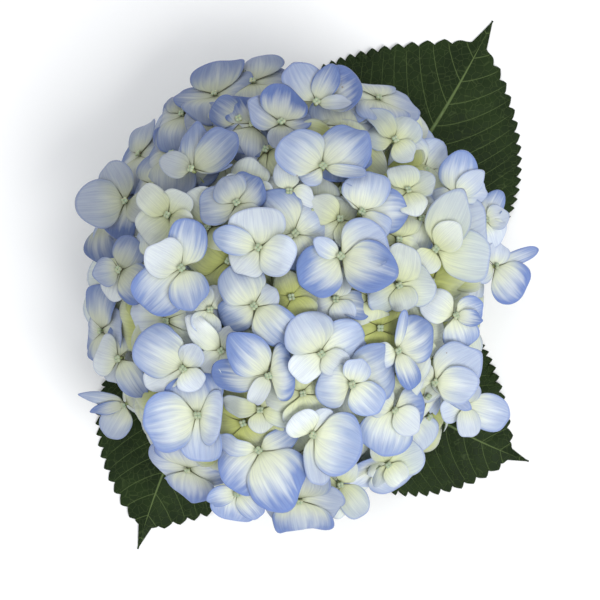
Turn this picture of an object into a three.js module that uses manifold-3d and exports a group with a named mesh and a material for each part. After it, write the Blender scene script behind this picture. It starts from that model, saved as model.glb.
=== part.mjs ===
// Cut mophead hydrangea, resting face up on its three leaves and its lowest florets.
//
// Millimetres and degrees, +Z up, the resting surface at z = 0. The head is a dome of
// four-sepalled florets, each on its own pedicel. The pedicels start from one branched
// stalk, which stands on a short cut stem. Three toothed leaves spread from the stem.
//
// While the pieces are made, the stem's axis is the Z axis. The finished group is then
// moved sideways, so that the origin is at the bottom centre of its bounding box.
import * as THREE from 'three';
import { mergeVertices } from 'three/addons/utils/BufferGeometryUtils.js';
import Module from 'manifold-3d';

const wasm = await Module();
wasm.setup();

// ---- Driving dimensions -------------------------------------------------------------

// Clearance between pieces that touch on the real flower.
const GAP = 0.3;

// The shell that the florets' eyes lie on, measured from the middle of the head.
const HEAD = {
  radiusX: 82,
  radiusY: 91,
  crownRise: 58,
  skirtDrop: 50,
};

// One floret. Reach is from its eye to a sepal's tip, and each floret scales it.
const FLORET = {
  reach: 21.5,
  thickness: 0.9,
  droop: 2.5, // how far a sepal's tip lies below the eye
  eyeRadius: 1.9,
  eyeRise: 1.4,
  pedicelRadius: 0.9,
  faceUp: 0.12, // share by which a floret turns from the shell's normal to +Z
};

// A sepal's outline about the eye: the angle, the share of the reach and the lift.
const SEPAL_COLUMNS = [
  { angle: -42, reach: 0.68, lift: 0 },
  { angle: -17, reach: 1, lift: -0.6 },
  { angle: 17, reach: 1, lift: -0.2 },
  { angle: 46, reach: 0.74, lift: 1.2 },
];

const STEM = {
  radius: 4.2,
  nodeRadius: 5.6, // at the swellings that the leaves grow from
  nodeHalfHeight: 2.6,
  lowNodeHeight: 6.5,
  highNodeHeight: 14,
  topHeight: 24,
  endHeight: 1, // the cut end stays just clear of the surface
};

const STALK = {
  hubRadius: 5,
  hubHeight: 6,
  rayRadius: 1.7,
  rayShare: 0.34, // how far out a ray forks, as a share of the way to the eyes
  twigRadius: 1.1,
  twigShare: 0.58, // how far out a twig meets its floret's pedicel
  pedicelClearance: 0.8,
};

const LEAF = {
  thickness: 0.8,
  petioleRadius: 1.9,
  toothPitch: 3.6,
  toothDepth: 2.1,
  landing: 0.42, // share of the blade's length at which it comes down to the surface
  crease: 3.2, // how far the midrib stands above the blade's sides
  ripple: 1.3, // height of the waves along the blade's margins
};

// Clearance between the leaves' upper side and the sepals of the skirt above them.
const SKIRT_CLEARANCE = 1.5;

// Each midrib is a curve in plan through its blade's base, a bend and its tip.
// Half widths are to the left and right of the midrib, looking towards the tip.
const LEAVES = [
  {
    name: 'leaf_large',
    midrib: [[20, 18], [55, 50], [90, 120]],
    halfWidth: [61, 51],
    stemNode: 'highNodeHeight',
  },
  {
    name: 'leaf_opposite',
    midrib: [[-17, -17], [-50, -52], [-68, -115]],
    halfWidth: [48, 42],
    stemNode: 'highNodeHeight',
  },
  {
    name: 'leaf_lower',
    midrib: [[17, -17], [53, -57], [106, -76]],
    halfWidth: [42, 42],
    stemNode: 'lowNodeHeight',
  },
];

// The florets that face up, placed one by one:
// [bearing from +X, angle from +Z, spin of the first sepal, scale of the reach].
const CROWN_FLORETS = [
  [129, 13, 50, 1.05],
  [30, 16, 45, 1.2],
  [204, 10, 40, 1.0],
  [299, 18, 40, 1.05],
  [255, 22, 15, 1.15],
  [170, 31, 42, 1.25],
  [2, 31, 30, 1.0],
  [44, 28, 60, 1.0],
  [73, 33, 45, 1.15],
  [124, 26, 35, 1.0],
  [214, 37, 50, 1.1],
  [306, 30, 20, 1.1],
  [333, 35, 30, 1.05],
];
const SHOULDER_FLORETS = [
  [93, 46, 45, 1.15],
  [132, 44, 75, 1.1],
  [151, 41, 60, 0.95],
  [231, 44, 8, 1.15],
  [258, 45, 45, 1.2],
  [280, 39, 60, 1.15],
  [14, 46, 50, 1.1],
  [37, 45, 20, 1.0],
  [314, 46, 45, 1.05],
  [330, 54, 40, 1.1],
  [352, 54, 25, 1.05],
  [81, 56, 40, 1.15],
  [52, 56, 30, 1.0],
  [108, 51, 20, 0.95],
  [174, 56, 55, 1.05],
  [200, 64, 15, 1.05],
  [154, 65, 30, 1.0],
  [302, 67, 35, 1.0],
  [286, 64, 10, 1.0],
  [27, 67, 50, 1.0],
];
// The florets that face outwards, in even rings. The skirt hangs just above the leaves.
const RIM_RING = { count: 11, polar: 82, firstBearing: 5, spinStep: 25 };
const SKIRT_RING = { count: 10, polar: 103, firstBearing: 18, spinStep: 35 };

const MATERIALS = {
  sepals: new THREE.MeshStandardMaterial({ color: 0xd3dae6, roughness: 0.62 }),
  leaf: new THREE.MeshStandardMaterial({ color: 0x2c3d20, roughness: 0.5 }),
  stem: new THREE.MeshStandardMaterial({ color: 0x7f8f4a, roughness: 0.6 }),
  stalk: new THREE.MeshStandardMaterial({ color: 0xb9c488, roughness: 0.6 }),
};

// ---- Lengths that follow from them --------------------------------------------------

const radians = THREE.MathUtils.degToRad;
const UP = new THREE.Vector3(0, 0, 1);

// The highest that a leaf comes where the skirt hangs over it.
const leafTop = LEAF.crease + LEAF.ripple + LEAF.thickness;
const skirtSlope = radians(SKIRT_RING.polar - 90);
const skirtReach = FLORET.reach * Math.cos(skirtSlope) + HEAD.skirtDrop * Math.sin(skirtSlope);
const middle = new THREE.Vector3(0, 0, leafTop + SKIRT_CLEARANCE + skirtReach);

// ---- Solids -------------------------------------------------------------------------

// A closed geometry as a solid that can be joined and cut.
function solidOf(geometry) {
  const bare = geometry.clone();
  bare.deleteAttribute('normal');
  bare.deleteAttribute('uv');
  const merged = mergeVertices(bare, 1e-4);
  return new wasm.Manifold(new wasm.Mesh({
    numProp: 3,
    vertProperties: new Float32Array(merged.attributes.position.array),
    triVerts: new Uint32Array(merged.index.array),
  }));
}

function geometryOf(solid) {
  const mesh = solid.getMesh();
  const geometry = new THREE.BufferGeometry();
  geometry.setAttribute('position', new THREE.BufferAttribute(mesh.vertProperties, 3));
  geometry.setIndex(new THREE.BufferAttribute(mesh.triVerts, 1));
  geometry.computeVertexNormals();
  return geometry;
}

function join(geometries) {
  return geometries.map(solidOf).reduce((whole, solid) => whole.add(solid));
}

// A thin closed sheet. Place gives the point of its lower side at u and v, from 0 to 1.
function sheet(columns, rows, thickness, place) {
  const geometry = new THREE.BoxGeometry(1, 1, 1, columns, rows, 1);
  const position = geometry.attributes.position;
  for (let i = 0; i < position.count; i++) {
    const point = place(position.getX(i) + 0.5, position.getY(i) + 0.5);
    const isUpper = position.getZ(i) > 0;
    position.setXYZ(i, point.x, point.y, point.z + (isUpper ? thickness : 0));
  }
  return geometry;
}

// A straight rod between two points.
function rod(start, end, startRadius, endRadius, sides) {
  const along = end.clone().sub(start);
  const turn = new THREE.Quaternion().setFromUnitVectors(
    new THREE.Vector3(0, 1, 0),
    along.clone().normalize(),
  );
  return new THREE.CylinderGeometry(endRadius, startRadius, along.length(), sides)
    .applyQuaternion(turn)
    .translate(...start.clone().addScaledVector(along, 0.5));
}

// ---- The head's shell ---------------------------------------------------------------

// The point of the shell at a bearing and a polar angle, measured from the middle.
function shellPoint(bearing, polar) {
  const [b, p] = [radians(bearing), radians(polar)];
  const height = polar < 90 ? HEAD.crownRise : HEAD.skirtDrop;
  return new THREE.Vector3(
    HEAD.radiusX * Math.sin(p) * Math.cos(b),
    HEAD.radiusY * Math.sin(p) * Math.sin(b),
    height * Math.cos(p),
  );
}

function shellNormal(point) {
  const height = point.z > 0 ? HEAD.crownRise : HEAD.skirtDrop;
  return new THREE.Vector3(
    point.x / HEAD.radiusX ** 2,
    point.y / HEAD.radiusY ** 2,
    point.z / height ** 2,
  ).normalize();
}

// ---- Leaves -------------------------------------------------------------------------

// Half the blade's width at t along the midrib, as a share of the widest: a broad oval
// that ends in a narrow drawn-out tip.
function bladeWidth(t) {
  const ovalEnd = 0.925;
  const tipShare = 0.08;
  const tipLength = 0.1;
  const oval = t < ovalEnd ? Math.sin((Math.PI * t) / ovalEnd) ** 0.75 : 0;
  const tip = tipShare * Math.min(1, (1 - t) / tipLength);
  return Math.max(oval, tip, 0.02);
}

function midribOf(leaf) {
  const [base, bend, tip] = leaf.midrib.map(([x, y]) => new THREE.Vector2(x, y));
  return new THREE.QuadraticBezierCurve(base, bend, tip);
}

// How high the blade's lower side is at t along it and at side, from -1 to 1 across it.
function bladeHeight(leaf, t, side) {
  const tipShare = 0.25; // the last share of the blade, over which it flattens out
  const waveTurns = 17; // radians of wave along the whole blade
  const waveLean = 1.5; // radians by which the waves lean from the midrib to a margin
  const start = STEM[leaf.stemNode] - LEAF.petioleRadius;
  const landed = THREE.MathUtils.smoothstep(t, 0, LEAF.landing);
  const fromTip = Math.min(1, (1 - t) / tipShare);
  const crease = LEAF.crease * fromTip * (1 - Math.abs(side)) ** 1.5;
  const wave = Math.max(0, Math.sin(t * waveTurns + side * waveLean)) * side * side;
  return start * (1 - landed) + landed * (crease + LEAF.ripple * wave * fromTip);
}

// A point of the blade's outline or inside it, in plan.
function bladePlan(leaf, midrib, t, side, toothInset) {
  const centre = midrib.getPoint(t);
  const tangent = midrib.getTangent(t);
  const half = leaf.halfWidth[side < 0 ? 0 : 1];
  const width = Math.max(half * bladeWidth(t) - toothInset * Math.abs(side), 0.4);
  return new THREE.Vector2(
    centre.x + tangent.y * side * width,
    centre.y - tangent.x * side * width,
  );
}

// The blade with its teeth, and the petiole that carries it from the stem.
function makeLeaf(leaf) {
  const midrib = midribOf(leaf);
  const teeth = Math.round(midrib.getLength() / LEAF.toothPitch);
  const rows = teeth * 2;
  const blade = sheet(4, rows, LEAF.thickness, (u, v) => {
    const side = u * 2 - 1;
    const row = Math.round(v * rows);
    const isNotch = row % 2 === 1 && row < rows - 1;
    const inset = isNotch ? LEAF.toothDepth * Math.min(1, bladeWidth(v) * 3) : 0;
    const plan = bladePlan(leaf, midrib, v, side, inset);
    return new THREE.Vector3(plan.x, plan.y, bladeHeight(leaf, v, side));
  });

  const bladeBase = midrib.getPoint(0.04);
  const outwards = bladeBase.clone().normalize();
  const height = STEM[leaf.stemNode];
  const start = outwards.clone().multiplyScalar(STEM.nodeRadius + GAP);
  const petiole = rod(
    new THREE.Vector3(start.x, start.y, height),
    new THREE.Vector3(bladeBase.x, bladeBase.y, height - LEAF.petioleRadius / 2),
    LEAF.petioleRadius,
    LEAF.petioleRadius * 0.8,
    8,
  );
  const mesh = new THREE.Mesh(geometryOf(join([blade, petiole])), MATERIALS.leaf);
  mesh.name = leaf.name;
  return mesh;
}

// Whether a floret at this bearing, on the edge of the head, would hang over a leaf.
function isOverLeaf(bearing) {
  const edge = shellPoint(bearing, 90);
  const spacing = FLORET.reach * 1.25; // its own reach and room beside it
  return LEAVES.some((leaf) => {
    const midrib = midribOf(leaf);
    for (let t = 0; t <= 1; t += 0.02) {
      for (const side of [-1, -0.5, 0, 0.5, 1]) {
        const point = bladePlan(leaf, midrib, t, side, 0);
        if (Math.hypot(point.x - edge.x, point.y - edge.y) < spacing) return true;
      }
    }
    return false;
  });
}

// ---- Florets ------------------------------------------------------------------------

// A ring of florets, spread evenly and spun one after another.
function ring(zone, { count, polar, firstBearing, spinStep }) {
  return Array.from({ length: count }, (_, i) => ({
    name: `${zone}_floret_${i + 1}`,
    bearing: firstBearing + (i * 360) / count,
    polar,
    spin: i * spinStep,
    scale: 1,
  }));
}

function placed(zone, rows) {
  return rows.map(([bearing, polar, spin, scale], i) => ({
    name: `${zone}_floret_${i + 1}`,
    bearing,
    polar,
    spin,
    scale,
  }));
}

// A skirt floret that hangs beside the leaves drops until its sepals rest on the surface.
function letDown(floret) {
  if (isOverLeaf(floret.bearing)) return floret;
  const hang = FLORET.reach * 0.85; // how far its lower sepals hang below its eye
  const pressed = 2; // how much of that the surface takes up
  const drop = middle.z - (hang - pressed);
  return { ...floret, polar: 90 + THREE.MathUtils.radToDeg(Math.asin(drop / HEAD.skirtDrop)) };
}

// Gives a floret its eye, measured from the middle, and its turn.
function stand(floret) {
  const eye = shellPoint(floret.bearing, floret.polar);
  const facing = shellNormal(eye).lerp(UP, FLORET.faceUp).normalize();
  const turn = new THREE.Quaternion().setFromUnitVectors(UP, facing);
  turn.multiply(new THREE.Quaternion().setFromAxisAngle(UP, radians(floret.spin)));
  return { ...floret, eye, turn };
}

// The walls of a floret's own share of the head: the directions that are nearer to its
// eye than to any other, less half the gap. Florets inside their shares can't meet.
function shareWalls(floret, florets) {
  const own = floret.eye.clone().normalize();
  const walls = florets
    .filter((other) => other !== floret)
    .map((other) => own.clone().sub(other.eye.clone().normalize()))
    .filter((away) => away.length() < 1.2)
    .map((away) => new THREE.Plane(away.normalize(), -GAP / 2));
  return [...walls, new THREE.Plane(UP, middle.z)];
}

// How far a point can go out from the eye before it meets a wall, up to all its way.
function shareOfWay(point, eye, walls) {
  const shares = walls.map((wall) => {
    const [inside, outside] = [wall.distanceToPoint(eye), wall.distanceToPoint(point)];
    return outside < 0 ? inside / (inside - outside) : 1;
  });
  return Math.min(...shares);
}

// The four sepals, joined where they meet: a lathed disc drawn out into four lobes. One
// edge of each sepal lies over the next sepal's edge. A sepal stops at its floret's walls.
function makeSepals(floret, toHead, walls) {
  const rings = [[0, 0], [0.5, 0], [1, 0], [1, 1], [0.5, 1], [0, 1]];
  const columns = SEPAL_COLUMNS.length;
  const pointAt = (step, [r, upper]) => {
    const { angle, reach, lift } = SEPAL_COLUMNS[step % columns];
    const turn = radians(angle + 90 * Math.floor(step / columns));
    const out = FLORET.reach * floret.scale * (r === 1 ? reach : r);
    const height = lift * r - FLORET.droop * r * r + FLORET.thickness * upper;
    return new THREE.Vector3(out * Math.cos(turn), out * Math.sin(turn), height);
  };
  const shareAt = (step) => Math.min(...[0, 1].map((upper) => {
    const tip = pointAt(step, [1, upper]).applyMatrix4(toHead);
    return shareOfWay(tip, floret.eye, walls);
  }));

  const profile = rings.map(([r, z]) => new THREE.Vector2(r, z));
  const geometry = new THREE.LatheGeometry(profile, 4 * columns);
  const position = geometry.attributes.position;
  for (let i = 0; i < position.count; i++) {
    const corner = rings[i % rings.length];
    const step = Math.floor(i / rings.length) % (4 * columns);
    const point = pointAt(step, corner);
    if (corner[0] > 0) point.multiplyScalar(shareAt(step));
    position.setXYZ(i, ...point);
  }
  return geometry.applyMatrix4(toHead);
}

// The sepals, the eye and the pedicel, which points at the middle of the head.
function makeFloret(floret, florets) {
  const toHead = new THREE.Matrix4()
    .compose(floret.eye, floret.turn, new THREE.Vector3(1, 1, 1));
  const sepals = makeSepals(floret, toHead, shareWalls(floret, florets));
  const eyeHeight = FLORET.eyeRise + FLORET.thickness / 2;
  const eye = new THREE.CylinderGeometry(FLORET.eyeRadius * 0.6, FLORET.eyeRadius, eyeHeight, 4)
    .rotateX(Math.PI / 2)
    .translate(0, 0, (eyeHeight + FLORET.thickness) / 2)
    .applyMatrix4(toHead);
  const start = floret.eye.clone().multiplyScalar(STALK.twigShare);
  start.addScaledVector(start.clone().normalize(), STALK.pedicelClearance);
  const end = new THREE.Vector3(0, 0, FLORET.thickness / 2).applyMatrix4(toHead);
  const pedicel = rod(start, end, FLORET.pedicelRadius, FLORET.pedicelRadius, 4);
  const mesh = new THREE.Mesh(geometryOf(join([sepals, eye, pedicel])), MATERIALS.sepals);
  mesh.name = floret.name;
  return mesh;
}

// ---- Stem and branched stalk --------------------------------------------------------

// The cut stem, turned about the Z axis, with a swelling at each pair of leaves.
function makeStem() {
  const profile = [[0, STEM.endHeight], [STEM.radius, STEM.endHeight]];
  for (const height of [STEM.lowNodeHeight, STEM.highNodeHeight]) {
    profile.push(
      [STEM.radius, height - STEM.nodeHalfHeight],
      [STEM.nodeRadius, height - STEM.nodeHalfHeight / 3],
      [STEM.nodeRadius, height + STEM.nodeHalfHeight / 3],
      [STEM.radius, height + STEM.nodeHalfHeight],
    );
  }
  profile.push([STEM.radius, STEM.topHeight], [0, STEM.topHeight]);
  const points = profile.map(([r, z]) => new THREE.Vector2(r, z));
  const geometry = new THREE.LatheGeometry(points, 12).rotateX(Math.PI / 2);
  const mesh = new THREE.Mesh(geometryOf(solidOf(geometry)), MATERIALS.stem);
  mesh.name = 'stem';
  return mesh;
}

// The rays that leave the hub: one upright, a ring that leans and a ring that is level.
function rayDirections() {
  const rings = [
    { polar: 0, count: 1 },
    { polar: 45, count: 5 },
    { polar: 86, count: 7 },
  ];
  return rings.flatMap(({ polar, count }) =>
    Array.from({ length: count }, (_, i) => shellPoint((i * 360) / count + polar, polar)),
  );
}

// The stalk that carries the florets: a hub on the stem's top, rays from the hub, and
// from the fork at each ray's end a twig to every pedicel that is nearest to that ray.
function makeStalk(florets) {
  const hubBottom = STEM.topHeight + GAP - middle.z;
  const hub = new THREE.CylinderGeometry(STALK.hubRadius, STEM.radius, STALK.hubHeight, 10)
    .rotateX(Math.PI / 2)
    .translate(0, 0, hubBottom + STALK.hubHeight / 2);
  const hubCentre = new THREE.Vector3(0, 0, hubBottom + STALK.hubHeight / 2);
  const rays = rayDirections();
  const pieces = [hub];
  rays.forEach((ray) => {
    const fork = ray.clone().multiplyScalar(STALK.rayShare);
    const own = florets.filter(
      ({ eye }) => rays.reduce((a, b) => (a.angleTo(eye) <= b.angleTo(eye) ? a : b)) === ray,
    );
    if (!own.length) return;
    pieces.push(rod(hubCentre, fork, STALK.rayRadius, STALK.rayRadius, 6));
    pieces.push(new THREE.IcosahedronGeometry(STALK.rayRadius * 1.3, 0).translate(...fork));
    own.forEach(({ eye }) => {
      const end = eye.clone().multiplyScalar(STALK.twigShare);
      pieces.push(rod(fork, end, STALK.twigRadius, FLORET.pedicelRadius, 4));
    });
  });
  const mesh = new THREE.Mesh(geometryOf(join(pieces)), MATERIALS.stalk);
  mesh.name = 'branched_stalk';
  return mesh;
}

// ---- The whole flower ---------------------------------------------------------------

function makeHydrangea() {
  const florets = [
    ...placed('crown', CROWN_FLORETS),
    ...placed('shoulder', SHOULDER_FLORETS),
    ...ring('rim', RIM_RING),
    ...ring('skirt', SKIRT_RING).map(letDown),
  ].map(stand);

  const head = new THREE.Group();
  head.position.copy(middle);
  head.add(makeStalk(florets), ...florets.map((floret) => makeFloret(floret, florets)));

  const flower = new THREE.Group();
  flower.add(makeStem(), head, ...LEAVES.map(makeLeaf));
  const centre = new THREE.Box3().setFromObject(flower, true).getCenter(new THREE.Vector3());
  flower.position.set(-centre.x, -centre.y, 0);

  const whole = new THREE.Group();
  whole.add(flower);
  return whole;
}

export default makeHydrangea();
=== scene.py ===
"""A cut mophead hydrangea that lies face up on its three leaves.

Metres and degrees, +Z up, the resting surface at z = 0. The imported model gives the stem's
axis and every floret's node. The classes below build the stem, the branched stalk, the
florets and the leaves around it, then the studio.
"""

import logging
import math
import random
from dataclasses import dataclass, field
from enum import Enum

import bmesh
import bpy
import numpy as np
from mathutils import Matrix, Quaternion, Vector


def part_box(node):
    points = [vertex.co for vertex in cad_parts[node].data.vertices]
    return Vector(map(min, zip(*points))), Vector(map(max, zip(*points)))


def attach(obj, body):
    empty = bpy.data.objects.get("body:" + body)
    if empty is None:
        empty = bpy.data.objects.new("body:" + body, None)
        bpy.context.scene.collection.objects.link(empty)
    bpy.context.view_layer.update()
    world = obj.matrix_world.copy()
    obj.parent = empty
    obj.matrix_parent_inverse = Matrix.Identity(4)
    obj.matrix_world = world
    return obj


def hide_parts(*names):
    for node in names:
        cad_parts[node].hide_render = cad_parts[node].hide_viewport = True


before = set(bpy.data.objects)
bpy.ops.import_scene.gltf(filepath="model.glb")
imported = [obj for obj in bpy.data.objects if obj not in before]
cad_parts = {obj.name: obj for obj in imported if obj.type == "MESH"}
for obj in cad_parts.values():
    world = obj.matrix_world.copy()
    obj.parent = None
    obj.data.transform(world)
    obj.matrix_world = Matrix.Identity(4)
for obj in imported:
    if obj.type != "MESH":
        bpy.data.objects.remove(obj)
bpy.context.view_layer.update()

LOG = logging.getLogger("hydrangea")
MM = 0.001
UP = Vector((0.0, 0.0, 1.0))
CLEARANCE = 0.3 * MM  # between pieces that touch
FLORET_REACH = 21.5 * MM  # from a floret's eye to its sepals' ends, at scale 1
TWIG_SHARE = 0.58  # where a twig ends and a pedicel starts, from the middle to the eye
STEM_NODE_RADIUS = 5.6 * MM
VEIN_PAIRS = 12  # side veins on each half of a leaf
INNER_RANK = -2  # florets below this rank fill the gaps under the others


def smoothstep(low: float, high: float, value: float) -> float:
    """Rises smoothly from 0 to 1.

    Args:
        low: Where the rise starts.
        high: Where it ends.
        value: The value to place.

    Returns:
        The share of the rise at the value.
    """
    share = min(1.0, max(0.0, (value - low) / (high - low)))
    return share * share * (3.0 - 2.0 * share)


def heading(bearing: float) -> Vector:
    """The level direction at a bearing in degrees from +X."""
    angle = math.radians(bearing)
    return Vector((math.cos(angle), math.sin(angle), 0.0))


# ---- Materials ------------------------------------------------------------------------


class NodeGraph:
    """Builds one material's nodes around its Principled shader."""

    def __init__(self, name: str) -> None:
        """Starts a material.

        Args:
            name: The material's name.
        """
        self.material = bpy.data.materials.new(name)
        self.material.use_nodes = True
        self.nodes = self.material.node_tree.nodes
        self.links = self.material.node_tree.links
        self.shader = self.nodes["Principled BSDF"]

    def put(self, target: bpy.types.NodeSocket, value: object) -> None:
        """Links a socket to the target, or sets the target to a plain value.

        Args:
            target: The input socket.
            value: A socket, a number or a colour of three numbers.
        """
        if isinstance(value, bpy.types.NodeSocket):
            self.links.new(value, target)
        elif isinstance(value, tuple) and len(value) == 3 and target.type == "RGBA":
            target.default_value = (*value, 1.0)
        else:
            target.default_value = value

    def settings(self, **values: float | tuple[float, ...]) -> None:
        """Sets constants on the shader: Coat_Weight=0.1 sets its Coat Weight."""
        for name, value in values.items():
            self.put(self.shader.inputs[name.replace("_", " ")], value)

    def attribute(self, name: str) -> list[bpy.types.NodeSocket]:
        """Reads a mesh attribute.

        Args:
            name: The attribute's name.

        Returns:
            Its three channels.
        """
        node = self.nodes.new("ShaderNodeAttribute")
        node.attribute_name = name
        split = self.nodes.new("ShaderNodeSeparateColor")
        self.links.new(node.outputs["Color"], split.inputs["Color"])
        return list(split.outputs)

    def place(self) -> bpy.types.NodeSocket:
        """The point's place on the object."""
        return self.nodes.new("ShaderNodeTexCoord").outputs["Object"]

    def vector(self, x: object, y: object, z: object) -> bpy.types.NodeSocket:
        """Joins three values into a vector.

        Args:
            x: The first value or socket.
            y: The second.
            z: The third.

        Returns:
            The vector.
        """
        node = self.nodes.new("ShaderNodeCombineXYZ")
        for target, value in zip(node.inputs, (x, y, z)):
            self.put(target, value)
        return node.outputs[0]

    def math(self, operation: str, a: object, b: object = 0.0) -> bpy.types.NodeSocket:
        """One arithmetic step.

        Args:
            operation: The Math node's operation.
            a: The first value or socket.
            b: The second value or socket, if the operation has one.

        Returns:
            The result.
        """
        node = self.nodes.new("ShaderNodeMath")
        node.operation = operation
        self.put(node.inputs[0], a)
        self.put(node.inputs[1], b)
        return node.outputs[0]

    def ramp(
        self, value: object, low: float, high: float, start: float = 0.0, end: float = 1.0
    ) -> bpy.types.NodeSocket:
        """Moves smoothly from start to end as the value goes from low to high.

        Args:
            value: The value or socket.
            low: Where the move starts.
            high: Where it ends.
            start: The result at low.
            end: The result at high.

        Returns:
            The result.
        """
        node = self.nodes.new("ShaderNodeMapRange")
        node.interpolation_type = "SMOOTHSTEP"
        for name, number in (
            ("From Min", low),
            ("From Max", high),
            ("To Min", start),
            ("To Max", end),
        ):
            node.inputs[name].default_value = number
        self.put(node.inputs["Value"], value)
        return node.outputs["Result"]

    def mix(self, share: object, a: object, b: object, way: str = "MIX") -> bpy.types.NodeSocket:
        """Mixes two colours.

        Args:
            share: How much of b, from 0 to 1.
            a: The first colour.
            b: The second colour.
            way: The Mix node's blend type.

        Returns:
            The mixed colour.
        """
        node = self.nodes.new("ShaderNodeMix")
        node.data_type = "RGBA"
        node.blend_type = way
        self.put(node.inputs["Factor"], share)
        self.put(node.inputs[6], a)
        self.put(node.inputs[7], b)
        return node.outputs[2]

    def noise(self, where: object, scale: float, detail: float = 2.0) -> bpy.types.NodeSocket:
        """Smooth random values from about 0.3 to 0.7.

        Args:
            where: The place to read them at.
            scale: How many changes there are in a unit.
            detail: How many finer layers they have.

        Returns:
            The value.
        """
        node = self.nodes.new("ShaderNodeTexNoise")
        self.put(node.inputs["Vector"], where)
        node.inputs["Scale"].default_value = scale
        node.inputs["Detail"].default_value = detail
        return node.outputs[0]

    def cells(self, where: object, scale: float, feature: str) -> bpy.types.NodeSocket:
        """Distances in a pattern of random cells.

        Args:
            where: The place to read them at.
            scale: How many cells there are in a unit.
            feature: F1 for the nearest cell's middle, or DISTANCE_TO_EDGE.

        Returns:
            The distance.
        """
        node = self.nodes.new("ShaderNodeTexVoronoi")
        node.feature = feature
        self.put(node.inputs["Vector"], where)
        node.inputs["Scale"].default_value = scale
        return node.outputs["Distance"]

    def relief(self, height: object, depth: float, strength: float = 1.0) -> None:
        """Gives the shader a fine relief.

        Args:
            height: The height, from 0 to 1.
            depth: The depth in metres that 1 stands for.
            strength: How strongly it shows.
        """
        bump = self.nodes.new("ShaderNodeBump")
        bump.inputs["Strength"].default_value = strength
        bump.inputs["Distance"].default_value = depth
        self.put(bump.inputs["Height"], height)
        self.links.new(bump.outputs["Normal"], self.shader.inputs["Normal"])


@dataclass(frozen=True)
class SepalFinish:
    """Thin soft sepals: cream at the base, periwinkle at the edge, with fine veins."""

    cream: tuple[float, float, float] = (0.80, 0.85, 0.63)
    white: tuple[float, float, float] = (0.86, 0.92, 0.94)
    blue: tuple[float, float, float] = (0.18, 0.28, 0.62)
    rim: tuple[float, float, float] = (0.14, 0.23, 0.58)
    yellow: tuple[float, float, float] = (0.61, 0.66, 0.20)
    olive: tuple[float, float, float] = (0.22, 0.25, 0.06)
    speck: tuple[float, float, float] = (0.20, 0.13, 0.06)
    # painted shadow for the gap where two sepals part beside the eye
    slit_shadow: tuple[float, float, float] = (0.06, 0.06, 0.02)
    value_spread: float = 400.0  # moves each sepal to its own part of the noise
    streaks: float = 11.0  # broad streaks of blue across a sepal
    veins: float = 38.0  # fine veins across a sepal
    vein_depth: float = 0.22 * MM

    def make(self) -> bpy.types.Material:
        """Builds the material, which reads the Sepal and Tint attributes."""
        graph = NodeGraph("sepal")
        along, across, radius = graph.attribute("Sepal")
        blueness, yellowness, value = graph.attribute("Tint")
        side = graph.math("ABSOLUTE", graph.math("SUBTRACT", across, 0.5))
        far = graph.math("MULTIPLY", value, self.value_spread)
        # Blue grows from the edge inwards, in streaks that follow the veins.
        drift = graph.noise(graph.place(), 60.0)
        fan = graph.vector(graph.math("MULTIPLY", across, self.streaks), along, far)
        streak = graph.noise(fan, 1.0, 3.0)
        edge = graph.math("ADD", along, graph.math("MULTIPLY", graph.math("POWER", side, 2.0), 1.5))
        edge = graph.math("ADD", edge, graph.math("MULTIPLY", drift, 0.45))
        edge = graph.math("ADD", edge, graph.math("MULTIPLY", streak, 0.80))
        reach = graph.math("SUBTRACT", edge, graph.math("MULTIPLY", blueness, 0.25))
        edge = graph.ramp(reach, 0.66, 1.42)
        colour = graph.mix(graph.ramp(along, 0.10, 0.70), self.cream, self.white)
        colour = graph.mix(graph.math("MULTIPLY", edge, blueness), colour, self.blue)
        # Young sepals are yellow-green, and every sepal is olive at its base: partly its own green,
        # partly painted shade where it meets the eye.
        youth = graph.math("MULTIPLY", yellowness, graph.ramp(along, 0.1, 1.2, 1.0, 0.35))
        colour = graph.mix(youth, colour, self.yellow)
        throat = graph.math("MULTIPLY", graph.ramp(along, 0.02, 0.2, 1.0, 0.0), 0.55)
        colour = graph.mix(throat, colour, self.olive)
        # Fine veins, a darker rim, and painted shadow on the edges beside the eye for the dark gap
        # where two sepals part.
        veining = graph.vector(
            graph.math("MULTIPLY", across, self.veins), graph.math("MULTIPLY", along, 1.6), far
        )
        veins = graph.noise(veining, 1.0, 3.0)
        shade = graph.ramp(veins, 0.35, 0.62, 0.87, 1.0)
        grey = graph.vector(shade, shade, graph.math("POWER", shade, 0.5))
        colour = graph.mix(1.0, colour, grey, "MULTIPLY")
        rim = graph.math("MULTIPLY", graph.ramp(radius, 0.90, 1.0), graph.ramp(along, 0.2, 0.5))
        rim = graph.math("MULTIPLY", rim, graph.ramp(blueness, -0.4, 1.2, 0.08, 0.65))
        colour = graph.mix(rim, colour, self.rim)
        slit_shadow = graph.math(
            "MULTIPLY", graph.ramp(radius, 0.88, 0.98), graph.ramp(along, 0.09, 0.25, 0.85, 0.0)
        )
        colour = graph.mix(slit_shadow, colour, self.slit_shadow)
        # The sepal's value, which holds painted shade towards the upper left, then a few small
        # spots.
        dim = graph.vector(value, value, value)
        colour = graph.mix(1.0, colour, dim, "MULTIPLY")
        spots = graph.ramp(graph.cells(graph.place(), 55.0, "F1"), 0.015, 0.03, 1.0, 0.0)
        colour = graph.mix(graph.math("MULTIPLY", spots, 0.6), colour, self.speck)
        graph.put(graph.shader.inputs["Base Color"], colour)
        graph.settings(
            Roughness=0.6,
            Specular_IOR_Level=0.25,
            Subsurface_Weight=0.25,
            Subsurface_Radius=(1.0, 0.95, 1.0),
            Subsurface_Scale=0.002,
            Sheen_Weight=0.05,
        )
        graph.relief(veins, self.vein_depth, 0.7)
        return graph.material


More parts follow.
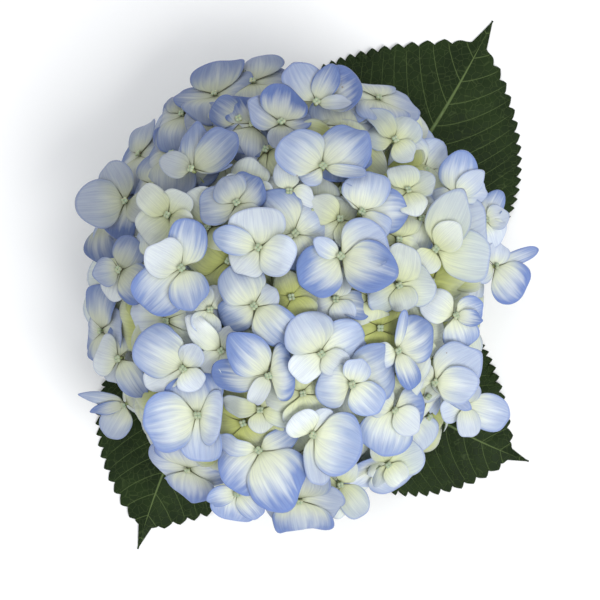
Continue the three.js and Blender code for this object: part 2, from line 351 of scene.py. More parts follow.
@dataclass(frozen=True)
class PlainFinish:
    """A soft plant surface of one colour with a mottle of another."""

    name: str
    colour: tuple[float, float, float]
    mottle: tuple[float, float, float]
    grain: float = 260.0
    roughness: float = 0.55

    def make(self) -> bpy.types.Material:
        """Builds the material."""
        graph = NodeGraph(self.name)
        mottle = graph.ramp(graph.noise(graph.place(), self.grain, 3.0), 0.42, 0.66)
        graph.put(graph.shader.inputs["Base Color"], graph.mix(mottle, self.colour, self.mottle))
        graph.settings(Roughness=self.roughness, Subsurface_Weight=0.15, Subsurface_Scale=0.002)
        graph.relief(mottle, 0.12 * MM, 0.4)
        return graph.material


@dataclass(frozen=True)
class LeafFinish:
    """A dark green blade with a net of pale veins and yellower teeth."""

    blade: tuple[float, float, float] = (0.008, 0.019, 0.003)
    light: tuple[float, float, float] = (0.014, 0.030, 0.005)
    vein: tuple[float, float, float] = (0.105, 0.150, 0.050)
    tooth: tuple[float, float, float] = (0.085, 0.135, 0.018)

    def make(self) -> bpy.types.Material:
        """Builds the material, which reads the Blade attribute."""
        graph = NodeGraph("leaf_blade")
        across, veins, edge = graph.attribute("Blade")
        side = graph.math("ABSOLUTE", graph.math("SUBTRACT", across, 0.5))
        patch = graph.ramp(graph.noise(graph.place(), 70.0, 4.0), 0.35, 0.7)
        colour = graph.mix(patch, self.blade, self.light)
        net = graph.ramp(graph.cells(graph.place(), 330.0, "DISTANCE_TO_EDGE"), 0.0, 0.07, 1.0, 0.0)
        colour = graph.mix(graph.math("MULTIPLY", net, 0.22), colour, self.vein)
        count = graph.math("MULTIPLY", veins, float(VEIN_PAIRS))
        lateral = graph.math("ABSOLUTE", graph.math("SUBTRACT", graph.math("FRACT", count), 0.5))
        lateral = graph.ramp(lateral, 0.008, 0.03, 1.0, 0.0)
        lateral = graph.math("MULTIPLY", lateral, graph.ramp(side, 0.36, 0.48, 0.7, 0.15))
        midrib = graph.ramp(side, 0.004, 0.010, 1.0, 0.0)
        line = graph.math("MAXIMUM", lateral, midrib)
        colour = graph.mix(line, colour, self.vein)
        colour = graph.mix(graph.ramp(edge, 0.84, 1.0, 0.0, 0.85), colour, self.tooth)
        graph.put(graph.shader.inputs["Base Color"], colour)
        graph.settings(Roughness=0.62, Specular_IOR_Level=0.16)
        height = graph.math("SUBTRACT", 1.0, graph.math("MAXIMUM", net, line))
        graph.relief(height, 0.25 * MM, 0.6)
        return graph.material


class Slot(Enum):
    """The record's material slots."""

    SEPALS = "sepals"
    LEAF = "leaf"
    STEM = "stem"
    STALK = "stalk"


def finish_piece(
    name: str,
    bm: bmesh.types.BMesh,
    materials: list[bpy.types.Material],
    nodes: list[str],
    levels: int = 0,
) -> bpy.types.Object:
    """Makes a bmesh into a finished piece of the flower.

    Args:
        name: The piece's name.
        bm: Its mesh, in the row's frame. It is freed.
        materials: Its materials, in the order that its faces number them.
        nodes: The CAD nodes that it stands for, if any.
        levels: Subdivision levels.

    Returns:
        The piece.
    """
    for face in bm.faces:
        face.smooth = True
    mesh = bpy.data.meshes.new(name)
    bm.to_mesh(mesh)
    bm.free()
    for material in materials:
        mesh.materials.append(material)
    piece = bpy.data.objects.new(name, mesh)
    bpy.context.scene.collection.objects.link(piece)
    if levels:
        smooth = piece.modifiers.new("round", "SUBSURF")
        smooth.levels = levels
        smooth.render_levels = levels
    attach(piece, "root")
    if nodes:
        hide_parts(*nodes)
    return piece


def add_rod(
    bm: bmesh.types.BMesh,
    start: Vector,
    end: Vector,
    radii: tuple[float, float],
    sides: int = 6,
    material: int = 0,
) -> None:
    """Adds a straight tapered rod.

    Args:
        bm: The mesh it joins.
        start: The middle of its first end.
        end: The middle of its last end.
        radii: Its radius at each end.
        sides: How many sides it has.
        material: Its faces' material number.
    """
    along = end - start
    turn = UP.rotation_difference(along.normalized()).to_matrix().to_4x4()
    made = bmesh.ops.create_cone(
        bm,
        cap_ends=True,
        segments=sides,
        radius1=radii[0],
        radius2=radii[1],
        depth=along.length,
        matrix=Matrix.Translation((start + end) / 2) @ turn,
    )
    for face in {face for vert in made["verts"] for face in vert.link_faces}:
        face.material_index = material


# ---- The head's shell and the florets' places -------------------------------------------


@dataclass(frozen=True)
class Shell:
    """The shell that the florets' eyes lie on, about the middle of the head."""

    middle: Vector
    radius_x: float = 82 * MM
    radius_y: float = 91 * MM
    crown_rise: float = 58 * MM
    skirt_drop: float = 50 * MM
    face_up: float = 0.12

    def point(self, bearing: float, polar: float) -> Vector:
        """The shell's point in a direction.

        Args:
            bearing: Degrees from +X.
            polar: Degrees from +Z.

        Returns:
            The point, from the head's middle.
        """
        down = math.radians(polar)
        level = heading(bearing) * math.sin(down)
        height = self.crown_rise if polar < 90 else self.skirt_drop
        return Vector(
            (level.x * self.radius_x, level.y * self.radius_y, math.cos(down) * height)
        )

    def facing(self, point: Vector) -> Vector:
        """The way that a floret faces.

        Args:
            point: Its point on the shell, from the head's middle.

        Returns:
            The shell's normal there, turned up a little.
        """
        height = self.crown_rise if point.z > 0 else self.skirt_drop
        normal = Vector(
            (point.x / self.radius_x**2, point.y / self.radius_y**2, point.z / height**2)
        ).normalized()
        return normal.lerp(UP, self.face_up).normalized()


class Tone(Enum):
    """A floret's shares of blue and of yellow, and its value."""

    WHITE = (0.50, 0.12, 1.00)
    PALE = (0.75, 0.08, 0.95)
    BLUE = (1.00, 0.03, 0.90)
    DEEP = (1.25, 0.00, 0.80)
    CREAM = (0.20, 0.46, 0.96)
    GREEN = (0.05, 1.00, 0.82)
    # Grey-blue, partly its own colour and partly painted shade: a low value for florets on the side
    # away from the key lamp.
    SHADED_GREY_BLUE = (0.85, 0.10, 0.76)
    LILAC = (1.10, 0.00, 0.80)


@dataclass
class Floret:
    """One floret: its place on the head, its turn and its look."""

    name: str
    bearing: float
    polar: float
    spin: float
    scale: float
    tone: Tone
    rank: float
    node: str | None = None
    depth: float = 0.0
    tilt: float = 0.0
    tilt_bearing: float = 0.0
    curl: float = 0.0
    raised: float = 0.0
    flattened: float = 0.45  # share by which sepals laid in plan lie flatter than the shell
    lowest: float = 7 * MM  # its sepals stay above this, clear of the leaves
    eye: Vector = field(default_factory=Vector)
    turn: Quaternion = field(default_factory=Quaternion)
    slope: Vector = field(default_factory=Vector)

    def stand(self, shell: Shell) -> "Floret":
        """Gives the floret its eye and its turn.

        Args:
            shell: The shell that it stands on.

        Returns:
            The floret.
        """
        on_shell = shell.point(self.bearing, self.polar)
        facing = shell.facing(on_shell)
        self.eye = on_shell - facing * self.depth
        facing = facing.lerp(UP, self.raised).normalized()
        axis = facing.cross(heading(self.tilt_bearing))
        if axis.length > 0.01:
            facing = Quaternion(axis.normalized(), math.radians(self.tilt)) @ facing
        spin = Quaternion(UP, math.radians(self.spin))
        self.turn = UP.rotation_difference(facing) @ spin
        level = facing.lerp(UP, self.flattened).normalized()
        self.slope = Vector((-level.x / level.z, -level.y / level.z, 0.0))
        return self

    def lay(self, around: Quaternion, local: Vector) -> Vector:
        """Lays a sepal's point beside the eye so that its plan stays as given.

        Args:
            around: The sepal's turn about +Z.
            local: The point in the sepal's own frame.

        Returns:
            The point, from the head's middle.
        """
        plan = around @ Vector((local.x, local.y, 0.0))
        return self.eye + plan + UP * (self.slope.dot(plan) + local.z)


# Bearing, angle from +Z, spin, scale, tone, rank, tilt and the bearing of the tilt. A
# floret of a higher rank lies over its neighbours.
Row = tuple[float, float, float, float, Tone, float, float, float]
CROWN_ROWS: list[Row] = [
    (129, 13, 50, 1.05, Tone.WHITE, 7, 8, 200),
    (30, 16, 45, 1.20, Tone.PALE, 9, 6, 60),
    (204, 10, 40, 1.00, Tone.WHITE, 5, 14, 180),
    (299, 18, 40, 1.05, Tone.WHITE, 7, 6, 270),
    (255, 22, 15, 1.15, Tone.PALE, 6.5, 10, 300),
    (170, 31, 42, 1.25, Tone.PALE, 9.5, 12, 20),
    (2, 31, 30, 1.00, Tone.CREAM, 6, 10, 270),
    (44, 28, 60, 1.00, Tone.PALE, 7, 12, 30),
    (73, 33, 45, 1.15, Tone.PALE, 8, 8, 90),
    (124, 26, 35, 1.00, Tone.SHADED_GREY_BLUE, 4, 10, 90),
    (214, 37, 50, 1.10, Tone.PALE, 7, 8, 240),
    (306, 30, 20, 1.10, Tone.WHITE, 8, 10, 60),
    (333, 35, 30, 1.05, Tone.PALE, 6, 10, 0),
]
SHOULDER_ROWS: list[Row] = [
    (93, 46, 45, 1.15, Tone.DEEP, 8, 10, 90),
    (132, 44, 75, 1.10, Tone.SHADED_GREY_BLUE, 9, 10, 160),
    (151, 41, 60, 0.95, Tone.CREAM, 6, 12, 180),
    (231, 44, 8, 1.15, Tone.PALE, 9.3, 14, 60),
    (258, 45, 45, 1.20, Tone.PALE, 9, 16, 90),
    (280, 39, 60, 1.15, Tone.WHITE, 9.6, 10, 0),
    (14, 46, 50, 1.10, Tone.CREAM, 7, 14, 200),
    (37, 45, 20, 0.85, Tone.CREAM, 4, 8, 90),
    (314, 46, 45, 1.05, Tone.WHITE, 7, 10, 330),
    (330, 54, 40, 1.10, Tone.WHITE, 8, 18, 150),
    (352, 54, 25, 1.05, Tone.WHITE, 6, 10, 180),
    (81, 56, 40, 1.15, Tone.BLUE, 9, 20, 270),
    (52, 56, 30, 1.00, Tone.CREAM, 6, 10, 230),
    (108, 51, 20, 0.95, Tone.SHADED_GREY_BLUE, 6, 12, 200),
    (174, 56, 55, 1.05, Tone.SHADED_GREY_BLUE, 6, 14, 0),
    (200, 64, 15, 1.05, Tone.SHADED_GREY_BLUE, 6, 16, 30),
    (154, 65, 30, 1.00, Tone.SHADED_GREY_BLUE, 6, 16, 330),
    (302, 67, 35, 1.00, Tone.CREAM, 6, 20, 120),
    (286, 64, 10, 1.00, Tone.CREAM, 5, 16, 100),
    (27, 67, 50, 1.00, Tone.PALE, 6, 16, 220),
]
# Florets that show between the others, a little deeper.
BETWEEN_ROWS: list[Row] = [
    (286, 2, 10, 0.78, Tone.GREEN, 4, 5, 0),
    (83, 14, 45, 1.09, Tone.PALE, 5.5, 0, 0),
    (255, 33, 0, 0.92, Tone.CREAM, 3, 16, 90),
    (249, 39, 20, 0.86, Tone.GREEN, 2, 16, 90),
    (278, 27, 10, 0.86, Tone.CREAM, 3, 10, 0),
    (219, 25, 30, 0.92, Tone.WHITE, 6, 10, 0),
    (193, 23, 0, 0.92, Tone.WHITE, 4, 10, 0),
    (349, 13, 0, 0.92, Tone.PALE, 3, 0, 0),
    (51, 23, 0, 0.92, Tone.CREAM, 3, 0, 0),
    (90, 25, 0, 0.92, Tone.WHITE, 3, 0, 0),
    (116, 28, 0, 0.92, Tone.CREAM, 3.5, 0, 0),
    (22, 35, 0, 0.92, Tone.CREAM, 3, 0, 0),
    (26, 46, 0, 0.92, Tone.SHADED_GREY_BLUE, 3, 0, 0),
    (70, 50, 0, 0.98, Tone.PALE, 5, 0, 0),
    (170, 43, 0, 0.92, Tone.WHITE, 5, 0, 0),
    (193, 38, 0, 0.98, Tone.WHITE, 5, 0, 0),
    (146, 56, 0, 0.92, Tone.SHADED_GREY_BLUE, 5, 0, 0),
    (134, 58, 0, 0.98, Tone.SHADED_GREY_BLUE, 5, 0, 0),
    (116, 57, 0, 0.98, Tone.SHADED_GREY_BLUE, 6, 0, 0),
    (104, 49, 0, 1.03, Tone.DEEP, 7, 0, 0),
    (339, 28, 0, 0.86, Tone.GREEN, 1, 0, 0),
    (354, 23, 0, 0.86, Tone.CREAM, 2, 0, 0),
]
# Florets that stand out past the edge of the head.
EDGE_ROWS: list[Row] = [
    (6, 84, 0, 0.95, Tone.BLUE, 7, 0, 0),
    (18, 80, 0, 0.85, Tone.PALE, 6, 0, 0),
    (329, 77, 0, 1.00, Tone.PALE, 7, 0, 0),
    (212, 82, 0, 0.90, Tone.SHADED_GREY_BLUE, 7, 0, 0),
    (254, 66, 0, 0.95, Tone.PALE, 6, 0, 0),
    (273, 66, 0, 0.90, Tone.SHADED_GREY_BLUE, 6, 0, 0),
    (238, 72, 0, 0.85, Tone.LILAC, 6, 0, 0),
    (124, 68, 0, 0.80, Tone.SHADED_GREY_BLUE, 6, 0, 0),
    (101, 68, 0, 0.85, Tone.SHADED_GREY_BLUE, 6, 0, 0),
    (191, 76, 0, 0.85, Tone.SHADED_GREY_BLUE, 6, 0, 0),
    (161, 82, 0, 0.90, Tone.SHADED_GREY_BLUE, 6, 0, 0),
    (141, 80, 0, 0.80, Tone.SHADED_GREY_BLUE, 6, 0, 0),
    (63, 70, 0, 0.85, Tone.PALE, 6, 0, 0),
    (113, 71, 0, 0.75, Tone.SHADED_GREY_BLUE, 6, 0, 0),
]
# The sepals of the florets that show most, as seen from above: each one's heading, length
# and width in millimetres, its share of blue and the lift of its tip in millimetres.
SepalRow = tuple[float, float, float, float, float]
SEPALS: dict[str, tuple[SepalRow, ...]] = {
    "crown_bloom_1": (
        (95, 14, 19, 0.3, 0), (165, 18, 10, 0.7, 0), (225, 12, 13, 0.1, 1), (335, 14, 14, 0.4, 3),
    ),
    "crown_bloom_2": (
        (28, 18, 17, 0.6, 0), (150, 11, 7, 0.5, 1), (215, 17, 17, 1.0, 0), (340, 20, 17, 1.1, 0),
    ),
    "crown_bloom_3": (
        (40, 8, 8, 0.4, 4), (122, 18, 16, 0.7, 1), (205, 15, 12, 0.9, 0), (313, 19, 14, 0.9, 0),
    ),
    "crown_bloom_4": (
        (25, 18, 16, 0.7, 0), (122, 16, 17, 0.5, 0), (221, 13, 11, 0.1, 2), (323, 12, 10, 0.2, 0),
    ),
    "crown_bloom_5": (
        (5, 10, 19, 0.9, 3), (134, 19, 14, 0.9, 0), (182, 22, 12, 1.1, 0), (240, 12, 7, 0.1, 0),
    ),
    "crown_bloom_6": (
        (76, 18, 13, 0.9, 0), (148, 13, 14, 0.1, 2), (229, 20, 18, 1.1, 0), (290, 16, 13, 0.8, 1),
    ),
    "crown_bloom_7": (
        (0, 16, 14, 0.4, 0), (73, 16, 13, 0.2, 0), (208, 13, 13, 0.6, 1), (290, 9, 10, 0.3, 0),
    ),
    "crown_bloom_8": (
        (4, 18, 14, 1.0, 0), (78, 16, 15, 0.7, 1), (118, 13, 5, 0.6, 4), (325, 14, 8, 0.7, 0),
    ),
    "crown_bloom_9": (
        (39, 20, 18, 0.9, 1), (146, 18, 18, 0.7, 1), (210, 10, 5, 0.5, 0), (350, 17, 5, 0.7, 0),
    ),
    "crown_bloom_10": (
        (45, 12, 12, 1.0, 0), (118, 11, 12, 0.6, 0), (182, 15, 14, 0.6, 1), (300, 11, 11, 0.3, 0),
    ),
    "crown_bloom_11": (
        (58, 10, 6, 0.3, 2), (147, 20, 18, 0.7, 1), (205, 17, 10, 0.1, 0), (300, 9, 10, 0.2, 0),
    ),
    "crown_bloom_12": (
        (28, 19, 19, 0.9, 0), (70, 8, 5, 0.5, 3), (180, 13, 17, 0.7, 1), (315, 14, 12, 0.8, 1),
    ),
    "crown_bloom_13": (
        (27, 16, 17, 1.0, 1), (84, 15, 4, 0.8, 4), (200, 10, 8, 0.4, 0), (297, 19, 8, 1.1, 0),
    ),
    "shoulder_bloom_1": (
        (30, 12, 11, 0.8, 1), (82, 15, 16, 1.3, 1), (150, 13, 12, 0.6, 2), (270, 5, 5, 0.3, 0),
    ),
    "shoulder_bloom_2": (
        (3, 15, 4, 0.8, 2), (36, 21, 14, 0.9, 0), (83, 16, 11, 0.8, 1), (163, 12, 9, 0.2, 0),
    ),
    "shoulder_bloom_3": (
        (60, 11, 11, 0.1, 1), (138, 16, 11, 0.0, 1), (215, 14, 14, 0.0, 0), (330, 7, 4, 0.0, 0),
    ),
    "shoulder_bloom_4": (
        (100, 16, 20, 0.9, 0), (192, 21, 20, 0.8, 0), (274, 18, 15, 0.7, 1), (350, 9, 18, 0.5, 2),
    ),
    "shoulder_bloom_5": (
        (18, 16, 10, 0.9, 0), (170, 17, 7, 0.6, 2), (227, 18, 18, 0.9, 0), (302, 25, 20, 1.1, 0),
    ),
    "shoulder_bloom_6": (
        (45, 11, 10, 0.3, 0), (130, 10, 12, 0.1, 1), (281, 20, 10, 0.5, 0), (340, 19, 22, 0.8, 1),
    ),
    "shoulder_bloom_7": (
        (66, 21, 16, 0.4, 0), (45, 12, 11, 0.0, 1), (350, 23, 17, 0.5, 0), (235, 10, 10, 0.1, 0),
    ),
    "shoulder_bloom_8": (
        (30, 12, 10, 0.4, 0), (100, 11, 11, 0.3, 0), (200, 12, 10, 0.1, 0), (290, 9, 8, 0.1, 0),
    ),
    "shoulder_bloom_9": (
        (0, 13, 14, 1.1, 0), (150, 10, 11, 0.4, 0), (255, 18, 18, 0.9, 0), (320, 13, 10, 0.2, 0),
    ),
    "shoulder_bloom_10": (
        (35, 20, 17, 0.6, 0), (150, 8, 8, 0.3, 1), (324, 17, 6, 0.8, 0), (352, 17, 13, 0.5, 1),
    ),
    "shoulder_bloom_11": (
        (20, 12, 9, 0.9, 0), (152, 14, 12, 0.2, 0), (290, 14, 12, 0.9, 0), (350, 11, 6, 1.2, 1),
    ),
    "shoulder_bloom_12": (
        (30, 18, 17, 1.3, 0), (65, 16, 10, 0.9, 1), (119, 17, 14, 0.7, 1), (355, 13, 6, 0.3, 0),
    ),
    "shoulder_bloom_13": (
        (50, 12, 13, 0.5, 1), (120, 16, 9, 0.5, 0), (165, 11, 10, 0.6, 0), (310, 9, 9, 0.3, 1),
    ),
    "shoulder_bloom_14": (
        (60, 10, 12, 1.1, 0), (150, 11, 12, 0.9, 0), (215, 10, 9, 0.5, 0), (300, 14, 14, 0.9, 0),
    ),
    "shoulder_bloom_15": (
        (60, 14, 12, 0.9, 0), (190, 10, 10, 0.6, 0), (250, 12, 10, 0.0, 0), (320, 15, 14, 1.1, 1),
    ),
    "shoulder_bloom_16": (
        (100, 14, 11, 1.0, 0), (170, 11, 14, 0.1, 1), (240, 9, 9, 0.3, 0), (300, 17, 11, 0.8, 0),
    ),
    "shoulder_bloom_17": (
        (115, 17, 12, 0.4, 0), (185, 19, 17, 0.5, 0), (250, 15, 12, 1.4, 0), (330, 8, 10, 0.0, 2),
    ),
    "shoulder_bloom_18": (
        (20, 15, 14, 0.6, 1), (110, 9, 9, 0.2, 0), (250, 11, 6, 0.6, 0), (310, 9, 9, 0.1, 0),
    ),
    "shoulder_bloom_19": (
        (60, 8, 9, 0.2, 0), (190, 16, 11, 0.4, 0), (255, 15, 11, 0.1, 0), (308, 17, 11, 0.6, 1),
    ),
    "shoulder_bloom_20": (
        (10, 16, 8, 0.6, 0), (40, 14, 9, 0.5, 1), (82, 17, 14, 0.9, 0), (200, 10, 8, 0.4, 0),
    ),
    "between_bloom_1": (
        (20, 8, 9, 0.0, 1), (110, 10, 9, 0.0, 0), (200, 9, 10, 0.0, 1), (305, 13, 11, 0.1, 0),
    ),
    "between_bloom_2": (
        (38, 15, 16, 0.7, 0), (133, 20, 19, 0.8, 0), (215, 10, 9, 0.2, 0), (293, 15, 14, 0.9, 0),
    ),
    "between_bloom_3": (
        (60, 14, 6, 0.4, 0), (172, 15, 7, 0.3, 0), (275, 8, 7, 0.1, 0), (338, 16, 8, 0.4, 0),
    ),
    "between_bloom_6": (
        (50, 6, 5, 0.1, 0), (140, 18, 10, 0.0, 1), (228, 12, 9, 0.1, 0), (310, 7, 6, 0.1, 0),
    ),
    "between_bloom_7": (
        (60, 8, 8, 0.3, 0), (130, 8, 9, 0.3, 0), (190, 13, 15, 0.6, 0), (250, 10, 10, 0.4, 0),
    ),
    "between_bloom_8": (
        (200, 9, 8, 0.4, 0), (300, 9, 8, 0.4, 0), (345, 15, 10, 0.9, 1), (80, 8, 8, 0.3, 0),
    ),
    "between_bloom_9": (
        (60, 9, 9, 0.1, 0), (145, 14, 11, 0.1, 2), (210, 9, 8, 0.0, 0), (300, 11, 9, 0.1, 0),
    ),
    "between_bloom_10": (
        (30, 9, 8, 0.2, 0), (100, 12, 9, 0.3, 1), (165, 13, 9, 0.1, 0), (340, 8, 8, 0.1, 0),
    ),
    "between_bloom_11": (
        (80, 13, 13, 0.2, 0), (160, 8, 9, 0.2, 0), (250, 9, 10, 0.2, 0), (350, 8, 9, 0.2, 0),
    ),
    "between_bloom_19": (
        (60, 9, 9, 0.6, 0), (130, 9, 9, 0.7, 0), (195, 12, 11, 0.4, 1), (290, 9, 9, 0.4, 0),
    ),
    "between_bloom_20": (
        (20, 10, 9, 0.8, 0), (115, 11, 15, 1.4, 1), (200, 9, 9, 0.9, 0), (265, 16, 15, 0.8, 0),
    ),
    "edge_bloom_1": (
        (20, 20, 6, 0.8, 4), (75, 10, 9, 0.4, 0), (200, 8, 9, 0.4, 0), (318, 18, 16, 1.1, 0),
    ),
    "edge_bloom_2": (
        (60, 14, 9, 0.9, 0), (15, 10, 8, 0.4, 0), (200, 8, 9, 0.4, 0), (310, 12, 11, 0.3, 0),
    ),
    "edge_bloom_3": (
        (345, 18, 13, 0.7, 0), (80, 9, 9, 0.5, 0), (200, 9, 9, 0.4, 0), (285, 14, 9, 0.3, 0),
    ),
    "edge_bloom_4": (
        (168, 17, 6, 0.7, 3), (195, 15, 5, 1.1, 1), (238, 16, 12, 0.6, 0), (30, 9, 9, 0.5, 0),
    ),
    "edge_bloom_5": (
        (255, 13, 15, 0.8, 0), (195, 12, 8, 0.9, 0), (30, 9, 9, 0.4, 0), (310, 14, 9, 0.8, 0),
    ),
}
RIM_COUNT, RIM_POLAR, RIM_FIRST, RIM_SPIN = 11, 82.0, 5.0, 25.0
SKIRT_COUNT, SKIRT_POLAR, SKIRT_FIRST, SKIRT_SPIN = 10, 103.0, 18.0, 35.0


@dataclass
class FloretPlan:
    """Lists every floret of the head, those of the CAD and those between them."""

    shell: Shell
    chance: random.Random
    filler_count: int = 230
    filler_apart: float = 8.5  # degrees between two fillers
    filler_clear: float = 8.0  # degrees between a filler and a floret of the outer layer
    between_depth: float = 3 * MM
    ring_depth: float = 4 * MM  # how far the rings' florets lie inside the shell
    drawn_in: float = 5 * MM  # how much deeper the edge lies on the head's older side
    edge_stand: float = 4 * MM  # how far the edge florets stand out past the shell
    edge_raised: float = 0.16  # share by which a floret of the edge turns up
    filler_depth: float = 7 * MM
    filler_lowest: float = 108.0  # the lowest filler's angle from +Z
    resting_share: float = 0.85  # height of a resting floret's eye as a share of its reach
    pressed: float = 2 * MM  # how far a resting floret is pressed down
    on_surface: float = 1 * MM  # a CAD node that reaches lower than this rests
    florets: list[Floret] = field(default_factory=list)

    def draw(self, bearing: float, polar: float) -> float:
        """How much deeper a floret near the edge lies on the older side of the head.

        Args:
            bearing: The floret's bearing.
            polar: Its angle from +Z.

        Returns:
            The extra depth.
        """
        away = smoothstep(0.0, 1.0, 1 - math.cos(math.radians(bearing)))
        return self.drawn_in * away * smoothstep(60, 76, polar)

    def placed(
        self,
        zone: str,
        rows: list[Row],
        depth: float = 0.0,
        raised: float = 0.0,
        has_node: bool = True,
    ) -> None:
        """Adds the florets of one table.

        Args:
            zone: The part of the head, which starts their names.
            rows: The table.
            depth: How far inside the shell they lie.
            raised: The share by which they turn up.
            has_node: Whether each stands for a CAD node.
        """
        for number, row in enumerate(rows, 1):
            bearing, polar, spin, scale, tone, rank, tilt, tilt_bearing = row
            self.florets.append(
                Floret(
                    name=f"{zone}_bloom_{number}",
                    node=f"{zone}_floret_{number}" if has_node else None,
                    bearing=bearing,
                    polar=polar,
                    spin=spin,
                    scale=scale,
                    tone=tone,
                    rank=rank + self.chance.random() * 0.5,
                    depth=depth + self.draw(bearing, polar),
                    tilt=tilt,
                    tilt_bearing=tilt_bearing,
                    curl=self.chance.uniform(-0.6, 0.8),
                    raised=raised,
                )
            )

    def ring(
        self, zone: str, count: int, polar: float, first: float, spin_step: float, raised: float
    ) -> None:
        """Adds an even ring of florets, let down where their CAD nodes are.

        Args:
            zone: The part of the head, which starts their names.
            count: How many there are.
            polar: Their angle from +Z.
            first: The first one's bearing.
            spin_step: How much further each one is spun than the last.
            raised: The share by which they turn up.
        """
        for step in range(count):
            node = f"{zone}_floret_{step + 1}"
            bearing = first + step * 360 / count
            low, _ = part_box(node)
            let_down = low[2] < self.on_surface
            self.florets.append(
                Floret(
                    name=f"{zone}_bloom_{step + 1}",
                    node=node,
                    bearing=bearing,
                    polar=self.let_down_polar() if let_down else polar,
                    spin=step * spin_step,
                    scale=self.chance.uniform(0.74, 0.88),
                    tone=self.chance.choice((Tone.WHITE, Tone.PALE, Tone.PALE, Tone.CREAM)),
                    rank=5 + self.chance.random() * 2,
                    tilt=self.chance.uniform(0, 14),
                    tilt_bearing=self.chance.uniform(0, 360),
                    curl=self.chance.uniform(-0.6, 0.6),
                    raised=raised,
                    depth=self.ring_depth + self.draw(bearing, polar),
                    lowest=0.5 * MM if let_down else 7 * MM,
                )
            )

    def let_down_polar(self) -> float:
        """The angle of a skirt floret whose sepals rest on the surface."""
        drop = self.shell.middle.z - (FLORET_REACH * self.resting_share - self.pressed)
        return 90 + math.degrees(math.asin(drop / self.shell.skirt_drop))

    def fillers(self) -> None:
        """Adds small florets under the gaps between the others, evenly over the head."""
        outer = [floret.eye.normalized() for floret in self.florets]
        placed: list[Vector] = []
        golden = 180 * (3 - math.sqrt(5))
        lowest = math.cos(math.radians(self.filler_lowest))
        for step in range(self.filler_count):
            height = 1 - (step + 0.5) / self.filler_count * (1 - lowest)
            polar = math.degrees(math.acos(height))
            bearing = (step * golden) % 360
            way = self.shell.point(bearing, polar).normalized()
            apart = [math.degrees(way.angle(other)) for other in placed]
            clear = [math.degrees(way.angle(other)) for other in outer]
            if min(clear) < self.filler_clear or (apart and min(apart) < self.filler_apart):
                continue
            placed.append(way)
            self.florets.append(
                Floret(
                    name=f"inner_bloom_{len(placed)}",
                    bearing=bearing,
                    polar=polar,
                    spin=self.chance.uniform(0, 90),
                    scale=self.chance.uniform(0.90, 1.10),
                    tone=self.chance.choice((Tone.CREAM, Tone.GREEN, Tone.WHITE, Tone.CREAM)),
                    raised=0.2,
                    rank=-5 + self.chance.random(),
                    depth=self.filler_depth + self.chance.uniform(-2, 2) * MM,
                    tilt=self.chance.uniform(0, 20),
                    tilt_bearing=self.chance.uniform(0, 360),
                    curl=self.chance.uniform(-0.5, 1.0),
                ).stand(self.shell)
            )

    def make(self) -> list[Floret]:
        """Lists the florets, each with its eye and turn."""
        self.placed("crown", CROWN_ROWS)
        self.placed("shoulder", SHOULDER_ROWS)
        self.ring("rim", RIM_COUNT, RIM_POLAR, RIM_FIRST, RIM_SPIN, self.edge_raised)
        self.ring("skirt", SKIRT_COUNT, SKIRT_POLAR, SKIRT_FIRST, SKIRT_SPIN, 0.1)
        self.placed("between", BETWEEN_ROWS, self.between_depth, has_node=False)
        self.placed("edge", EDGE_ROWS, -self.edge_stand, self.edge_raised, has_node=False)
        for floret in self.florets:
            floret.stand(self.shell)
        self.fillers()
        return self.florets


# ---- Florets ----------------------------------------------------------------------------


@dataclass(frozen=True)
class SepalShape:
    """One sepal along +X from the eye: a narrow claw that opens into a round blade."""

    length: float
    half_width: float
    claw: float  # half the width at the eye
    droop: float  # how far the end hangs down
    cup: float  # how far the sides stand up
    curl: float  # how far the edge turns down
    ruffle: float  # height of the waves at the edge
    phase: float  # where the waves start
    twist: float  # how far one side stands above the other
    rise: float  # how far the sepal starts above the outer ones
    apex: float  # how far its point stands out, as a share of its length
    lobing: float = 0.05  # how uneven its outline is
    claw_end: float = 0.24  # share of the length at which it is fully open
    fullness: float = 0.22  # how much wider it is towards its end

    def point(self, x: float, y: float) -> tuple[Vector, float]:
        """The sepal's point, with the square from -1 to 1 rounded into a disc.

        Args:
            x: From -1 at the eye to 1 at the end.
            y: From -1 at one edge to 1 at the other.

        Returns:
            The point in the sepal's own frame, and its share of the way to the end.
        """
        disc_x = x * math.sqrt(1 - y * y / 2)
        across = y * math.sqrt(1 - x * x / 2)
        radius = math.hypot(disc_x, across)
        along = (1 + disc_x) / 2
        opening = smoothstep(0.0, self.claw_end, along)
        widest = self.half_width * (1 + self.fullness * (along - 0.5))
        side = across * (self.claw + (widest - self.claw) * opening)
        height = self.rise * min(1.0, along * 3) - self.droop * along**2
        height += self.cup * across**2 * along - self.curl * radius**4 * along
        height += self.twist * across * along
        turn = math.atan2(across, disc_x)
        wave = math.sin(self.phase + 3 * turn) + 0.6 * math.sin(2.3 * self.phase + 5 * turn)
        height += self.ruffle * wave * radius**2 * along
        end = along + self.apex * max(0.0, 1 - (across / 0.3) ** 2) * along**8
        lobes = math.sin(1.7 * self.phase + 2 * turn) + 0.6 * math.sin(self.phase + 4 * turn)
        outline = 1 + self.lobing * lobes * radius**2 * along
        return Vector((self.length * end * outline, side * outline, height)), along


